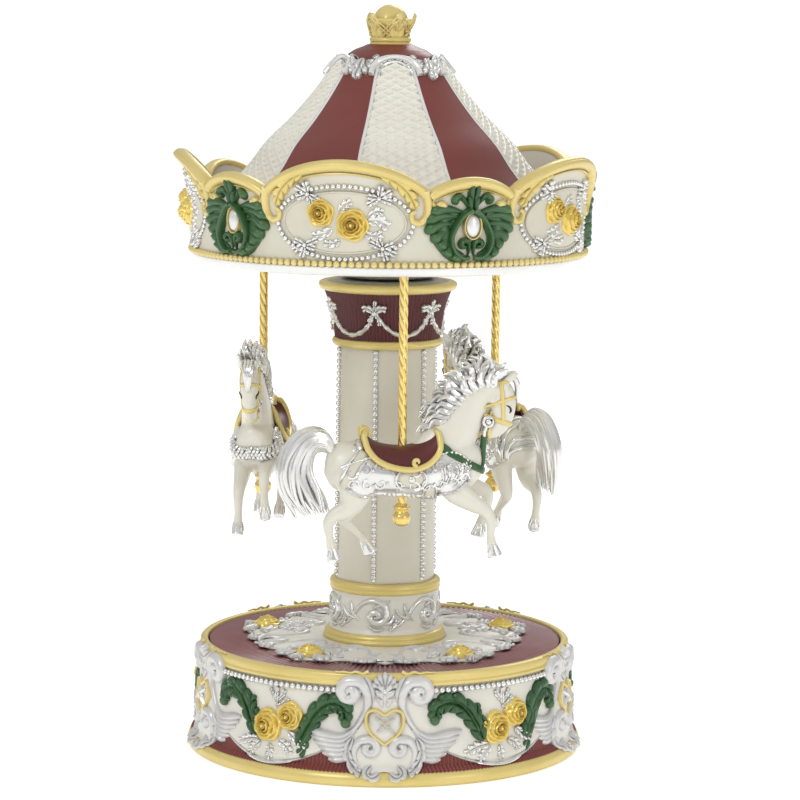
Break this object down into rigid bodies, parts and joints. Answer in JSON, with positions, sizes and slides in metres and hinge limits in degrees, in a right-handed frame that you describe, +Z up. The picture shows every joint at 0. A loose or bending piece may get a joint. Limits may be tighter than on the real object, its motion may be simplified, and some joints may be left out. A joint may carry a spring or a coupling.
{
  "type": "carousel music box",
  "caption": "Round decorated base with a central column that carries a turning scalloped canopy, from which horses hang on twisted poles; wind-up musical movement inside.",
  "frame": {"origin": "centre of the round base on the surface it stands on", "axes": "+Z up along the column, -Y towards the front, where a base cartouche and the front horse are"},
  "size_m": [0.1565, 0.1561, 0.281],
  "materials": {
    "cream_resin": "satin painted cast resin",
    "white_resin": "satin painted cast resin",
    "maroon_resin": "satin painted cast resin",
    "gold_paint": "pale metallic gold paint",
    "gold_metal": "polished gold plating",
    "silver_paint": "bright silver leaf on cast resin",
    "green_paint": "satin dark green paint",
    "brass": "bare brass",
    "steel": "bright steel",
    "cover_board": "dark flocked board",
    "black_paint": "satin black paint on eyes and nostrils"
  },
  "bodies": {
    "base": {"base_drum": "cream_resin", "deck_plate": "maroon_resin", "bottom_cover": "cover_board", "cover_screw_1": "steel", "cover_screw_2": "steel", "cover_screw_3": "steel", "column_foot": "cream_resin", "column_shell": "cream_resin", "column_capital": "maroon_resin", "shaft_bush": "brass", "movement_bedplate": "brass", "comb_block": "brass", "steel_comb": "steel", "comb_screw_1": "steel", "comb_screw_2": "steel", "movement_screw_1": "steel", "movement_screw_2": "steel", "movement_screw_3": "steel", "cylinder_bearing": "brass", "train_bearing": "brass"},
    "carousel": {"spring_barrel": "brass", "mainspring": "steel", "drive_shaft": "steel", "canopy_hub": "white_resin", "canopy_floor": "white_resin", "valance_ring": "cream_resin", "roof_shell": "maroon_resin", "crown_finial": "gold_paint", "pole_1": "gold_metal", "horse_1": "white_resin", "pole_tip_1": "gold_metal", "pole_nut_1": "brass", "pole_2": "gold_metal", "horse_2": "white_resin", "pole_tip_2": "gold_metal", "pole_nut_2": "brass", "pole_3": "gold_metal", "horse_3": "white_resin", "pole_tip_3": "gold_metal", "pole_nut_3": "brass"},
    "cylinder": {"pin_cylinder": "brass"},
    "governor": {"governor_fly": "steel"},
    "winder": {"winding_arbor": "steel", "winding_key": "steel"}
  },
  "joints": [
    {"name": "carousel_spin", "type": "hinge", "parent": "base", "child": "carousel", "pos_m": [0, 0, 0.1], "axis": [0, 0, 1], "continuous": true},
    {"name": "cylinder_spin", "type": "hinge", "parent": "base", "child": "cylinder", "pos_m": [0.0287, 0, 0.02445], "axis": [1, 0, 0], "continuous": true},
    {"name": "governor_spin", "type": "hinge", "parent": "base", "child": "governor", "pos_m": [0.0432, -0.01, 0.02445], "axis": [1, 0, 0], "continuous": true},
    {"name": "key_turn", "type": "hinge", "parent": "base", "child": "winder", "pos_m": [0, 0, 0.0126], "axis": [0, 0, 1], "continuous": true}
  ],
  "couplings": [
    {"joint": "cylinder_spin", "follows": "carousel_spin", "ratio": 4},
    {"joint": "governor_spin", "follows": "carousel_spin", "ratio": -16}
  ]
}
